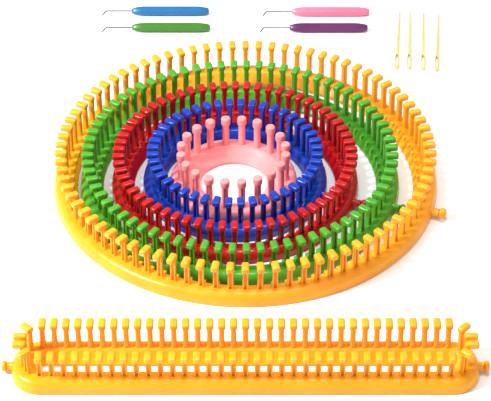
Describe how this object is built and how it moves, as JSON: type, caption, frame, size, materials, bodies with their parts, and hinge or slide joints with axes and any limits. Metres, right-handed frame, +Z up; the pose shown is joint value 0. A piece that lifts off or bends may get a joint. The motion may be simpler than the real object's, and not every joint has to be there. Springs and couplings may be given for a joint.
{
  "type": "knitting loom kit",
  "caption": "Knitting loom kit: round peg looms nested inside each other, a long peg loom, wire-tipped loom hooks and flat plastic needles.",
  "frame": {"origin": "centre of the kit's footprint, on the surface it lies on", "axes": "+Z up; +Y from the long loom past the nested round looms to the hooks and needles; +X to the right of the long loom's length"},
  "size_m": [0.334, 0.4719, 0.0345],
  "materials": {
    "yellow_plastic": "glossy",
    "green_plastic": "glossy",
    "red_plastic": "glossy",
    "blue_plastic": "glossy",
    "pink_plastic": "glossy",
    "amber_plastic": "glossy",
    "handle_blue": "glossy",
    "handle_green": "glossy",
    "handle_pink": "glossy",
    "handle_purple": "glossy",
    "needle_plastic": "glossy",
    "steel": "satin"
  },
  "bodies": {
    "yellow_loom": {"yellow_base": "yellow_plastic", "yellow_peg_strip_1": "yellow_plastic", "yellow_peg_strip_2": "yellow_plastic", "yellow_peg_strip_3": "yellow_plastic", "yellow_peg_strip_4": "yellow_plastic", "yellow_peg_strip_5": "yellow_plastic", "yellow_peg_strip_6": "yellow_plastic", "yellow_peg_strip_7": "yellow_plastic", "yellow_anchor_peg": "yellow_plastic"},
    "green_loom": {"green_base": "green_plastic", "green_peg_strip_1": "green_plastic", "green_peg_strip_2": "green_plastic", "green_peg_strip_3": "green_plastic", "green_peg_strip_4": "green_plastic", "green_peg_strip_5": "green_plastic", "green_peg_strip_6": "green_plastic", "green_peg_strip_7": "green_plastic", "green_anchor_peg": "green_plastic"},
    "red_loom": {"red_base": "red_plastic", "red_peg_strip_1": "red_plastic", "red_peg_strip_2": "red_plastic", "red_peg_strip_3": "red_plastic", "red_peg_strip_4": "red_plastic", "red_peg_strip_5": "red_plastic", "red_peg_strip_6": "red_plastic", "red_anchor_peg": "red_plastic"},
    "blue_loom": {"blue_base": "blue_plastic", "blue_peg_strip_1": "blue_plastic", "blue_peg_strip_2": "blue_plastic", "blue_peg_strip_3": "blue_plastic", "blue_peg_strip_4": "blue_plastic", "blue_anchor_peg": "blue_plastic"},
    "pink_loom": {"pink_base": "pink_plastic", "pink_peg_strip_1": "pink_plastic", "pink_peg_strip_2": "pink_plastic", "pink_anchor_peg": "pink_plastic"},
    "long_loom": {"long_base": "amber_plastic", "long_front_peg_strip_1": "amber_plastic", "long_front_peg_strip_2": "amber_plastic", "long_front_peg_strip_3": "amber_plastic", "long_back_peg_strip_1": "amber_plastic", "long_back_peg_strip_2": "amber_plastic", "long_back_peg_strip_3": "amber_plastic", "long_left_peg_strip": "amber_plastic", "long_right_peg_strip": "amber_plastic", "long_left_anchor_peg": "amber_plastic", "long_right_anchor_peg": "amber_plastic"},
    "blue_hook": {"blue_hook_handle": "handle_blue", "blue_hook_wire": "steel"},
    "green_hook": {"green_hook_handle": "handle_green", "green_hook_wire": "steel"},
    "pink_hook": {"pink_hook_handle": "handle_pink", "pink_hook_wire": "steel"},
    "purple_hook": {"purple_hook_handle": "handle_purple", "purple_hook_wire": "steel"},
    "loose_needle_a": {"needle_a": "needle_plastic"},
    "loose_needle_b": {"needle_b": "needle_plastic"},
    "loose_needle_c": {"needle_c": "needle_plastic"},
    "loose_needle_d": {"needle_d": "needle_plastic"}
  },
  "joints": [
    {"name": "green_loom_lift", "type": "slide", "parent": "yellow_loom", "child": "green_loom", "axis": [0, 0, 1], "range_m": [0, 0.06]},
    {"name": "red_loom_lift", "type": "slide", "parent": "yellow_loom", "child": "red_loom", "axis": [0, 0, 1], "range_m": [0, 0.06]},
    {"name": "blue_loom_lift", "type": "slide", "parent": "yellow_loom", "child": "blue_loom", "axis": [0, 0, 1], "range_m": [0, 0.06]},
    {"name": "pink_loom_lift", "type": "slide", "parent": "yellow_loom", "child": "pink_loom", "axis": [0, 0, 1], "range_m": [0, 0.06]},
    {"name": "long_loom_lift", "type": "slide", "parent": "yellow_loom", "child": "long_loom", "axis": [0, 0, 1], "range_m": [0, 0.06]},
    {"name": "blue_hook_lift", "type": "slide", "parent": "yellow_loom", "child": "blue_hook", "axis": [0, 0, 1], "range_m": [0, 0.04]},
    {"name": "green_hook_lift", "type": "slide", "parent": "yellow_loom", "child": "green_hook", "axis": [0, 0, 1], "range_m": [0, 0.04]},
    {"name": "pink_hook_lift", "type": "slide", "parent": "yellow_loom", "child": "pink_hook", "axis": [0, 0, 1], "range_m": [0, 0.04]},
    {"name": "purple_hook_lift", "type": "slide", "parent": "yellow_loom", "child": "purple_hook", "axis": [0, 0, 1], "range_m": [0, 0.04]},
    {"name": "loose_needle_a_lift", "type": "slide", "parent": "yellow_loom", "child": "loose_needle_a", "axis": [0, 0, 1], "range_m": [0, 0.04]},
    {"name": "loose_needle_b_lift", "type": "slide", "parent": "yellow_loom", "child": "loose_needle_b", "axis": [0, 0, 1], "range_m": [0, 0.04]},
    {"name": "loose_needle_c_lift", "type": "slide", "parent": "yellow_loom", "child": "loose_needle_c", "axis": [0, 0, 1], "range_m": [0, 0.04]},
    {"name": "loose_needle_d_lift", "type": "slide", "parent": "yellow_loom", "child": "loose_needle_d", "axis": [0, 0, 1], "range_m": [0, 0.04]}
  ]
}
